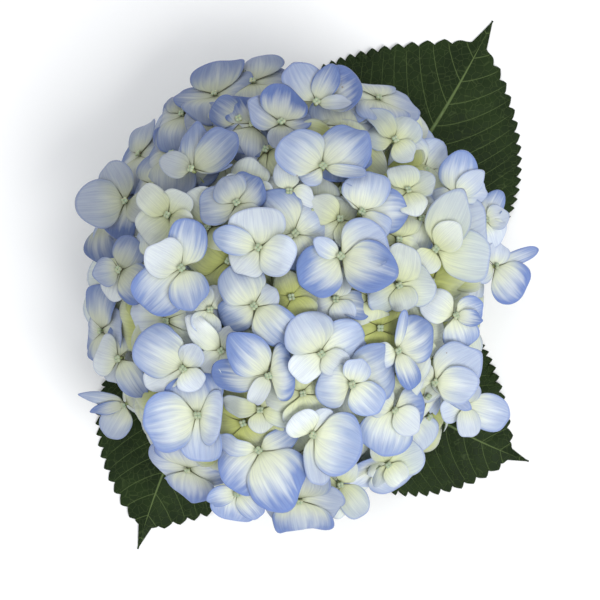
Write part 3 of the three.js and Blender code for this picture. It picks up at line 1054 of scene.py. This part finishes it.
@dataclass
class FloretMaker:
    """Builds a floret: four sepals, the eye's four buds and the pedicel."""

    florets: list[Floret]
    shell: Shell
    sepal: bpy.types.Material
    bud: bpy.types.Material
    pedicel: bpy.types.Material
    chance: random.Random
    thickness: float = 0.32 * MM
    margin: float = 4 * MM  # how far from its wall a sepal starts to bend
    press: float = 0.55  # how far it bends under, for each unit past the wall
    lift: float = 0.28  # how far it bends over
    most_press: float = 11 * MM
    most_lift: float = 4 * MM
    closest: float = 0.02  # eyes nearer in direction than this have no wall between them
    farthest: float = 0.75  # nor have eyes farther apart than this
    shaded_side: float = 118.0  # bearing of the side given painted shade, away from the key lamp
    painted_shade_loss: float = 0.26  # how much value a floret loses there as painted shade
    blue_loss: float = 0.12  # how much value a deep blue sepal loses
    fine_grid: tuple[int, int] = (6, 6)
    coarse_grid: tuple[int, int] = (5, 4)  # for the florets that fill the gaps
    bud_radius: float = 1.1 * MM
    bud_spread: float = 0.85 * MM
    bud_rise: float = 1.3 * MM
    pedicel_radius: float = 0.8 * MM
    neck: float = 3 * MM  # how far under the eye the pedicel widens
    shortest: float = 10.0  # a laid sepal is at least this long, in millimetres
    narrowest: float = 9.0  # and one that is hardly longer is at least this wide
    round_share: float = 0.7  # wider than this share of its length, a sepal is round

    def sepal_shape(self, floret: Floret, number: int) -> SepalShape:
        """Draws one sepal's own sizes.

        Args:
            floret: Its floret.
            number: Its place in the floret. Odd ones lie over even ones.

        Returns:
            The sepal's shape.
        """
        vary = self.chance.uniform
        length = FLORET_REACH * floret.scale * vary(0.86, 1.08)
        is_inner = number % 2 == 1
        return SepalShape(
            length=length,
            half_width=length * vary(0.56, 0.70),
            claw=1.5 * MM,
            droop=(1.8 - 4.0 * floret.curl + vary(-1.5, 1.5)) * MM,
            cup=(2.0 + 2.0 * max(0.0, floret.curl) if is_inner else vary(-0.8, 0.6)) * MM,
            curl=vary(-0.4, 1.4) * MM,
            ruffle=vary(0.25, 0.8) * MM,
            phase=vary(0, 2 * math.pi),
            twist=vary(-1.6, 1.6) * MM,
            rise=0.7 * MM if is_inner else 0.0,
            apex=vary(-0.04, 0.10),
        )

    def set_sepal(self, row: SepalRow, number: int) -> SepalShape:
        """One sepal of the sizes in its row, with the rest drawn.

        Args:
            row: The sepal's row.
            number: Its place in the floret. Odd ones lie over even ones.

        Returns:
            The sepal's shape.
        """
        vary = self.chance.uniform
        _, length, width, _, lift = row
        if length < self.shortest + 1:
            width = max(width, self.narrowest)
        length = max(length, self.shortest)
        is_round = width > self.round_share * length
        is_inner = number % 2 == 1
        return SepalShape(
            length=length * 1.05 * MM,
            half_width=width * (0.62 if is_round else 0.56) * MM,
            claw=min(1.5, width / 5) * MM,
            droop=(1.4 + vary(-0.8, 0.8) - lift) * MM,
            cup=vary(0.4, 2.6) * MM if is_inner else vary(-1.2, 0.6) * MM,
            curl=vary(-1.5, 0.9) * MM,
            ruffle=vary(0.3, 0.9) * MM,
            phase=vary(0, 2 * math.pi),
            twist=vary(-1.5, 1.5) * MM,
            rise=1.0 * MM if is_inner else 0.0,
            apex=vary(-0.03, 0.12),
        )

    def neighbours(self, floret: Floret) -> tuple[np.ndarray, np.ndarray]:
        """The walls between a floret and those around it.

        Args:
            floret: The floret.

        Returns:
            The walls' normals, which point to its side, and for each wall -1 if the
            floret goes under its neighbour there, 1 if over and 0 if they don't meet.
        """
        own = floret.eye.normalized()
        normals, signs = [], []
        for other in self.florets:
            away = own - other.eye.normalized()
            if other is floret or not self.closest <= away.length <= self.farthest:
                continue
            is_under = floret.rank < other.rank
            is_deeper = other.rank < INNER_RANK < floret.rank
            normals.append(away.normalized())
            signs.append(-1.0 if is_under else 0.0 if is_deeper else 1.0)
        return np.array(normals), np.array(signs)

    def settle(self, points: np.ndarray, floret: Floret) -> np.ndarray:
        """Bends sepals under or over the neighbours whose shares they reach into.

        Args:
            points: The sepals' points, from the head's middle.
            floret: Their floret.

        Returns:
            The bent points.
        """
        normals, signs = self.neighbours(floret)
        if not len(normals):
            return points
        past = np.clip(self.margin - points @ normals.T, 0.0, None)
        under = (past * (signs < 0)).max(axis=1) * self.press
        over = (past * (signs > 0)).max(axis=1) * self.lift
        under = self.most_press * np.tanh(under / self.most_press)
        over = self.most_lift * np.tanh(over / self.most_lift)
        shift = np.where(under > 0, -under, over)
        ways = points / np.linalg.norm(points, axis=1, keepdims=True)
        if floret.name in SEPALS:
            ways = ways + np.array(UP)
            ways = ways / np.linalg.norm(ways, axis=1, keepdims=True)
        return points + ways * shift[:, None]

    def shade(self, floret: Floret) -> float:
        """A floret's value, darker as painted shade towards the upper left, away from the key lamp.

        Args:
            floret: The floret.

        Returns:
            Its value.
        """
        way = Vector((floret.eye.x / self.shell.radius_x, floret.eye.y / self.shell.radius_y, 0))
        # Painted shade: florets towards the upper left, away from the key lamp, lose value.
        shadedness = smoothstep(0.0, 0.9, way.dot(heading(self.shaded_side)))
        return floret.tone.value[2] * (1 - self.painted_shade_loss * shadedness)

    def add_sepals(self, bm: bmesh.types.BMesh, floret: Floret) -> None:
        """Adds the four sepals, settled among their neighbours, with their attributes.

        Args:
            bm: The floret's mesh.
            floret: The floret.
        """
        place = bm.verts.layers.float_color.new("Sepal")
        tint = bm.verts.layers.float_color.new("Tint")
        blue, yellow, _ = floret.tone.value
        value = self.shade(floret)
        rows = SEPALS.get(floret.name)
        columns, lines = self.fine_grid if floret.rank > INNER_RANK else self.coarse_grid
        verts, points = [], []
        for number in range(4):
            if rows:
                shape = self.set_sepal(rows[number], number)
                around = Quaternion(UP, math.radians(rows[number][0]))
                own_blue = rows[number][3] * self.chance.uniform(0.9, 1.1)
            else:
                shape = self.sepal_shape(floret, number)
                turn = 90 * number + self.chance.uniform(-7, 7)
                around = Quaternion(UP, math.radians(turn))
                own_blue = blue * self.chance.uniform(0.6, 1.25)
            made = bmesh.ops.create_grid(bm, x_segments=columns, y_segments=lines, size=1.0)
            own_value = value * self.chance.uniform(0.82, 1.0)
            own_value *= 1 - self.blue_loss * max(0.0, own_blue - 0.7)
            for vert in made["verts"]:
                x, y = vert.co.x, vert.co.y
                local, along = shape.point(x, y)
                radius = math.sqrt(x * x + y * y - x * x * y * y)
                vert[place] = (along, (y + 1) / 2, radius, 1.0)
                vert[tint] = (own_blue, yellow, own_value, 1.0)
                verts.append(vert)
                if rows:
                    points.append(floret.lay(around, local))
                else:
                    points.append(floret.eye + floret.turn @ (around @ local))
        settled = self.settle(np.array(points), floret)
        floor = floret.lowest - self.shell.middle.z
        for vert, point in zip(verts, settled):
            vert.co = (point[0], point[1], max(point[2], floor))
        bmesh.ops.recalc_face_normals(bm, faces=bm.faces)
        bmesh.ops.solidify(bm, geom=bm.faces[:], thickness=self.thickness)

    def add_eye(self, bm: bmesh.types.BMesh, floret: Floret) -> None:
        """Adds the eye: four small buds pressed together.

        Args:
            bm: The floret's mesh.
            floret: The floret.
        """
        for number in range(4):
            around = heading(45 + 90 * number) * self.bud_spread
            local = Vector((around.x, around.y, self.bud_rise))
            matrix = Matrix.Translation(floret.eye + floret.turn @ local)
            matrix = matrix @ floret.turn.to_matrix().to_4x4()
            matrix = matrix @ Matrix.Diagonal((1.0, 1.0, 0.85, 1.0))
            made = bmesh.ops.create_icosphere(
                bm, subdivisions=1, radius=self.bud_radius * floret.scale**0.5, matrix=matrix
            )
            for face in {face for vert in made["verts"] for face in vert.link_faces}:
                face.material_index = 1

    def add_pedicel(self, bm: bmesh.types.BMesh, floret: Floret) -> None:
        """Adds the thin stalk from the twig's end to the eye.

        Args:
            bm: The floret's mesh.
            floret: The floret.
        """
        start = floret.eye * TWIG_SHARE
        neck = floret.eye - (floret.turn @ UP) * self.neck
        end = floret.eye + (floret.turn @ UP) * 0.6 * MM
        radius = self.pedicel_radius
        add_rod(bm, start, neck, (radius, radius), 6, 2)
        add_rod(bm, neck, end, (radius, radius * 2.0), 6, 2)

    def make(self, floret: Floret) -> bpy.types.Object:
        """Builds one floret.

        Args:
            floret: The floret.

        Returns:
            The finished piece.
        """
        bm = bmesh.new()
        self.add_sepals(bm, floret)
        self.add_eye(bm, floret)
        self.add_pedicel(bm, floret)
        bmesh.ops.translate(bm, verts=bm.verts[:], vec=self.shell.middle)
        return finish_piece(
            floret.name,
            bm,
            [self.sepal, self.bud, self.pedicel],
            [floret.node] if floret.node else [],
            levels=1,
        )


# ---- Stem and stalk ---------------------------------------------------------------------


@dataclass
class Stem:
    """The short cut stem with a swelling at each pair of leaves."""

    axis: Vector
    material: bpy.types.Material
    radius: float = 4.2 * MM
    node_radius: float = STEM_NODE_RADIUS
    node_heights: tuple[float, float] = (6.5 * MM, 14 * MM)
    node_flat: float = 0.8 * MM  # half the height of a node's widest part
    node_reach: float = 2.6 * MM  # half the height of a whole node
    low: float = 1 * MM
    top: float = 24 * MM

    def profile(self) -> list[tuple[float, float]]:
        """Radii and heights from the cut end to the top."""
        rows = [
            (0.0, self.low + 0.3 * MM),
            (self.radius - 0.5 * MM, self.low + 0.1 * MM),
            (self.radius, self.low + 0.6 * MM),
        ]
        for height in self.node_heights:
            rows += [
                (self.radius, height - self.node_reach),
                (self.node_radius, height - self.node_flat),
                (self.node_radius, height + self.node_flat),
                (self.radius, height + self.node_reach),
            ]
        return [*rows, (self.radius, self.top), (0.0, self.top)]

    def make(self) -> bpy.types.Object:
        """Spins the profile about the stem's axis."""
        bm = bmesh.new()
        verts = [bm.verts.new((radius, 0.0, height)) for radius, height in self.profile()]
        edges = [bm.edges.new(pair) for pair in zip(verts, verts[1:])]
        bmesh.ops.spin(
            bm,
            geom=verts + edges,
            cent=(0, 0, 0),
            axis=(0, 0, 1),
            angle=2 * math.pi,
            steps=20,
            use_merge=True,
        )
        bmesh.ops.remove_doubles(bm, verts=bm.verts[:], dist=1e-6)
        bmesh.ops.recalc_face_normals(bm, faces=bm.faces)
        bmesh.ops.translate(bm, verts=bm.verts[:], vec=self.axis)
        return finish_piece("cut_stem", bm, [self.material], ["stem"], 1)


@dataclass
class Stalk:
    """The branched stalk: a hub, rays from it, and a twig from a ray to each pedicel."""

    florets: list[Floret]
    shell: Shell
    material: bpy.types.Material
    hub_bottom: float = 24.3 * MM
    hub_height: float = 6 * MM
    hub_radii: tuple[float, float, float] = (4.2 * MM, 5.2 * MM, 3.5 * MM)
    ray_radius: float = 1.7 * MM
    twig_radius: float = 1.1 * MM
    twig_end_radius: float = 0.9 * MM
    knuckle: float = 1.2  # how much thicker a ray is at its ends
    ray_share: float = 0.34  # where a ray forks, from the middle to the shell

    def rays(self) -> list[Vector]:
        """The ways that the rays leave the hub."""
        rings = ((0.0, 1), (45.0, 5), (86.0, 7))
        return [
            self.shell.point(step * 360 / count + polar, polar)
            for polar, count in rings
            for step in range(count)
        ]

    def make(self) -> bpy.types.Object:
        """Builds the stalk."""
        bm = bmesh.new()
        base = self.hub_bottom - self.shell.middle.z
        hub = Vector((0, 0, base + self.hub_height / 2))
        bottom, waist, top = self.hub_radii
        add_rod(bm, Vector((0, 0, base)), hub, (bottom, waist), 12)
        add_rod(bm, hub, Vector((0, 0, base + self.hub_height)), (waist, top), 12)
        rays = self.rays()
        forks = [ray * self.ray_share for ray in rays]
        thick = self.ray_radius * self.knuckle
        for fork in forks:
            add_rod(bm, hub, fork, (thick, self.ray_radius), 8)
            bmesh.ops.create_icosphere(
                bm, subdivisions=2, radius=thick, matrix=Matrix.Translation(fork)
            )
        for floret in self.florets:
            nearest = min(range(len(rays)), key=lambda i: rays[i].angle(floret.eye))
            end = floret.eye * TWIG_SHARE
            add_rod(bm, forks[nearest], end, (self.twig_radius, self.twig_end_radius), 6)
            bmesh.ops.create_icosphere(
                bm, subdivisions=1, radius=self.twig_radius, matrix=Matrix.Translation(end)
            )
        bmesh.ops.translate(bm, verts=bm.verts[:], vec=self.shell.middle)
        return finish_piece(
            "flower_stalk", bm, [self.material], ["branched_stalk"]
        )


# ---- Leaves -----------------------------------------------------------------------------


@dataclass
class Leaf:
    """One toothed leaf: its blade lies on the surface, its petiole joins the stem."""

    name: str
    node: str
    midrib: tuple[tuple[float, float], ...]  # its base, bend and tip in millimetres
    half_width: tuple[float, float]  # of its two sides in millimetres
    stem_height: float
    axis: Vector
    blade: bpy.types.Material
    petiole: bpy.types.Material
    tooth_pitch: float = 3.6 * MM
    tooth_depth: float = 2.1 * MM
    tooth_rise: float = 0.78  # share of a tooth's pitch on its long side
    oval_end: float = 0.925  # where the oval of the blade ends and its tip starts
    tip_width: float = 0.08
    tip_length: float = 0.1
    landing: float = 0.42  # where the blade reaches the surface
    crease: float = 3.2 * MM
    ripple: float = 1.3 * MM
    puff: float = 0.5 * MM  # how far the blade swells between its side veins
    thickness: float = 0.45 * MM
    off_surface: float = 0.05 * MM
    petiole_radius: float = 1.9 * MM
    rib_share: float = 0.42  # the midrib's ridge is this share of the petiole's radius
    rib_end: float = 0.12 * MM
    columns: int = 44
    rows_per_tooth: int = 7
    ribs: int = 24  # steps of the midrib's ridge

    def centre(self, along: float) -> tuple[Vector, Vector]:
        """The midrib at a share of its length.

        Args:
            along: The share.

        Returns:
            Its point, from the stem's axis, and its direction.
        """
        base, bend, tip = (Vector(point) * MM for point in self.midrib)
        rest = 1 - along
        point = base * rest**2 + bend * 2 * rest * along + tip * along**2
        slope = (bend - base) * rest + (tip - bend) * along
        return point, slope.normalized()

    def length(self) -> float:
        """The midrib's length."""
        points = [self.centre(step / 40)[0] for step in range(41)]
        return sum((b - a).length for a, b in zip(points, points[1:]))

    def width(self, along: float) -> float:
        """Half the blade's width at a share of its length.

        Args:
            along: The share.

        Returns:
            The half width as a share of the widest.
        """
        is_oval = along < self.oval_end
        oval = math.sin(math.pi * along / self.oval_end) ** 0.75 if is_oval else 0.0
        tip = self.tip_width * min(1.0, (1 - along) / self.tip_length)
        return max(oval, tip, 0.006)

    def height(self, along: float, side: float) -> float:
        """The blade's lower side: a fall from the stem, then a crease and ripples.

        Args:
            along: The share of the blade's length.
            side: From -1 at one margin to 1 at the other.

        Returns:
            The height above the surface.
        """
        start = self.stem_height - self.petiole_radius
        landed = smoothstep(0.0, self.landing, along)
        from_tip = min(1.0, (1 - along) * 4)
        crease = self.crease * from_tip * (1 - abs(side)) ** 1.5
        wave = max(0.0, math.sin(along * 17 + side * 1.5)) * side**2
        return start * (1 - landed) + landed * (crease + self.ripple * wave * from_tip)

    @staticmethod
    def vein_place(along: float, out: float) -> float:
        """Where on the midrib the lateral vein that runs through a point leaves it.

        Args:
            along: The point's share of the midrib's length.
            out: Its distance from the midrib as a share of that length.

        Returns:
            The share of the midrib's length at which its vein starts.
        """
        return along - 0.60 * out - 2.40 * out**2

    def tooth(self, along: float, teeth: int) -> tuple[float, float]:
        """A saw tooth's shape at a place along the margin.

        Args:
            along: The share of the blade's length.
            teeth: How many teeth a margin has.

        Returns:
            How far the margin stands out and how far forward, as shares of a tooth.
        """
        phase = (along * teeth) % 1.0
        is_long_side = phase < self.tooth_rise
        rising = (phase / self.tooth_rise) ** 0.7
        out = rising if is_long_side else (1 - phase) / (1 - self.tooth_rise)
        return out, out * 0.7

    def add_blade(self, bm: bmesh.types.BMesh) -> None:
        """Adds the blade as a fine sheet with thickness.

        Args:
            bm: The leaf's mesh.
        """
        length = self.length()
        teeth = round(length / self.tooth_pitch)
        data = bm.verts.layers.float_color.new("Blade")
        made = bmesh.ops.create_grid(
            bm, x_segments=teeth * self.rows_per_tooth, y_segments=self.columns, size=1.0
        )
        for vert in made["verts"]:
            along, side = (vert.co.x + 1) / 2, vert.co.y
            out, forward = self.tooth(along, teeth)
            margin = abs(side) ** 7 * min(1.0, self.width(along) * 6)
            margin *= 1 - smoothstep(0.89, 0.92, along)
            span = self.half_width[0 if side > 0 else 1] * MM * self.width(along)
            span = max(span - (1 - out) * self.tooth_depth * margin, 0.35 * MM)
            centre, slope = self.centre(along)
            normal = Vector((-slope.y, slope.x))
            plan = centre + normal * side * span + slope * forward * self.tooth_depth * margin
            vein = self.vein_place(along, abs(side) * span / length)
            between = math.sin(math.pi * ((vein + 0.5) * VEIN_PAIRS - 0.5)) ** 2
            puff = self.puff * between * (1 - abs(side) ** 4) * min(1.0, abs(side) * 6)
            height = self.height(along, side) + puff * min(1.0, (1 - along) * 4)
            vert[data] = ((side + 1) / 2, vein + 0.5, margin * out, 1.0)
            vert.co = (plan.x, plan.y, height + self.off_surface)
        raised = bmesh.ops.extrude_face_region(bm, geom=bm.faces[:])
        upper = [part for part in raised["geom"] if isinstance(part, bmesh.types.BMVert)]
        bmesh.ops.translate(bm, verts=upper, vec=(0, 0, self.thickness))
        bmesh.ops.recalc_face_normals(bm, faces=bm.faces)

    def add_midrib(self, bm: bmesh.types.BMesh) -> None:
        """Adds the midrib's ridge and the petiole as one tapering rod.

        Args:
            bm: The leaf's mesh.
        """
        start_way = self.centre(0.04)[0].normalized()
        stem_gap = STEM_NODE_RADIUS + CLEARANCE
        start = Vector((*(start_way * stem_gap), self.stem_height))
        points, radii = [start], [self.petiole_radius]
        for step in range(self.ribs - 1):
            along = 0.02 + step / self.ribs
            centre = self.centre(along)[0]
            thinning = (1 - along) ** 1.2
            radius = self.petiole_radius * thinning * self.rib_share + self.rib_end
            height = self.height(along, 0.0) + self.thickness / 2
            points.append(Vector((centre.x, centre.y, max(height, radius + self.off_surface))))
            radii.append(radius)
        for (a, b), pair in zip(zip(points, points[1:]), zip(radii, radii[1:])):
            add_rod(bm, a, b, pair, 8, 1)

    def make(self) -> bpy.types.Object:
        """Builds the leaf."""
        bm = bmesh.new()
        self.add_blade(bm)
        self.add_midrib(bm)
        bmesh.ops.translate(bm, verts=bm.verts[:], vec=self.axis)
        return finish_piece(
            self.name, bm, [self.blade, self.petiole], [self.node]
        )


# ---- Studio -----------------------------------------------------------------------------


@dataclass
class Studio:
    """A pale floor, soft light from the lower right and a camera that looks down."""

    head: Vector
    camera_height: float = 650 * MM  # above the middle of the head
    field_width: float = 252 * MM  # the picture's width at the middle of the head
    aim: tuple[float, float] = (4.2 * MM, -4.2 * MM)  # the picture's middle from the head's
    room_light: float = 0.68

    def floor(self) -> None:
        """Makes the floor."""
        bm = bmesh.new()
        bmesh.ops.create_grid(bm, x_segments=1, y_segments=1, size=3.0)
        mesh = bpy.data.meshes.new("floor")
        bm.to_mesh(mesh)
        bm.free()
        graph = NodeGraph("floor_paper")
        graph.settings(Base_Color=(0.98, 0.98, 0.98), Roughness=0.9, Specular_IOR_Level=0.1)
        mesh.materials.append(graph.material)
        floor = bpy.data.objects.new("floor", mesh)
        bpy.context.scene.collection.objects.link(floor)

    def lamp(
        self, name: str, place: Vector, size: float, power: float, colour: tuple[float, ...]
    ) -> None:
        """Adds a square soft lamp that faces the head.

        Args:
            name: Its name.
            place: Its place from the head's middle.
            size: Its side in metres.
            power: Its power in watts.
            colour: Its colour.
        """
        light = bpy.data.lights.new(name, "AREA")
        light.size = size
        light.energy = power
        light.color = colour
        lamp = bpy.data.objects.new(name, light)
        lamp.location = self.head + place
        lamp.rotation_euler = (-place).to_track_quat("-Z", "Y").to_euler()
        bpy.context.scene.collection.objects.link(lamp)

    def lights(self) -> None:
        """Adds the lamps and the even light of the room."""
        self.lamp("key", Vector((0.60, -0.60, 1.10)), 0.8, 12.0, (0.99, 0.99, 0.98))
        self.lamp("fill", Vector((-0.50, 0.60, 1.30)), 1.4, 4.5, (0.97, 0.98, 1.0))
        world = bpy.data.worlds.new("room")
        world.use_nodes = True
        background = world.node_tree.nodes["Background"]
        background.inputs["Color"].default_value = (0.95, 0.97, 1.0, 1.0)
        background.inputs["Strength"].default_value = self.room_light
        bpy.context.scene.world = world

    def camera(self) -> None:
        """Adds the camera straight above the flower, +Y up in the picture."""
        data = bpy.data.cameras.new("camera")
        data.sensor_width = 36.0
        data.lens = data.sensor_width * self.camera_height / self.field_width
        camera = bpy.data.objects.new("camera", data)
        camera.location = self.head + Vector((*self.aim, self.camera_height))
        bpy.context.scene.collection.objects.link(camera)
        bpy.context.scene.camera = camera

    def make(self) -> None:
        """Builds the studio."""
        self.floor()
        self.lights()
        self.camera()
        bpy.context.scene.view_settings.view_transform = "Standard"


# ---- The whole flower -------------------------------------------------------------------


def report(piece: bpy.types.Object) -> None:
    """Logs a finished piece."""
    LOG.info("%s: %d faces before its modifiers", piece.name, len(piece.data.polygons))


HEAD_HEIGHT = 39 * MM  # of the head's middle
SEED = 11
# Each leaf's piece, its node, its midrib's base, bend and tip and its two half widths in
# millimetres from the stem's axis, and the height in millimetres at which it leaves the stem.
LEAVES = (
    ("blade_upper_right", "leaf_large", ((20, 18), (55, 50), (90, 120)), (61, 51), 14.0),
    ("blade_lower_left", "leaf_opposite", ((-17, -17), (-50, -52), (-68, -115)), (48, 42), 14.0),
    ("blade_lower_right", "leaf_lower", ((17, -17), (53, -57), (106, -76)), (42, 42), 6.5),
)


def main() -> None:
    """Builds the flower and its studio."""
    logging.basicConfig(level=logging.INFO, format="%(name)s: %(message)s")
    low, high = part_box("stem")
    axis = Vector(((low[0] + high[0]) / 2, (low[1] + high[1]) / 2, 0.0))
    shell = Shell(middle=axis + UP * HEAD_HEIGHT)
    chance = random.Random(SEED)

    sepal = SepalFinish().make()
    bud = PlainFinish("eye_bud", (0.34, 0.41, 0.27), (0.42, 0.48, 0.31), 420.0).make()
    green = PlainFinish("pedicel_green", (0.22, 0.27, 0.10), (0.32, 0.37, 0.16)).make()
    bark = PlainFinish("stem_bark", (0.16, 0.22, 0.06), (0.20, 0.15, 0.07), 420.0).make()
    petiole = PlainFinish("petiole_green", (0.09, 0.14, 0.04), (0.13, 0.18, 0.06)).make()
    blade = LeafFinish().make()

    florets = FloretPlan(shell, chance).make()
    maker = FloretMaker(florets, shell, sepal, bud, green, chance)
    for floret in florets:
        report(maker.make(floret))
    report(Stem(axis, bark).make())
    report(Stalk(florets, shell, green).make())
    for name, node, midrib, half_width, stem_height in LEAVES:
        leaf = Leaf(name, node, midrib, half_width, stem_height * MM, axis, blade, petiole)
        report(leaf.make())
    Studio(head=shell.middle).make()


if __name__ == "__main__":
    main()
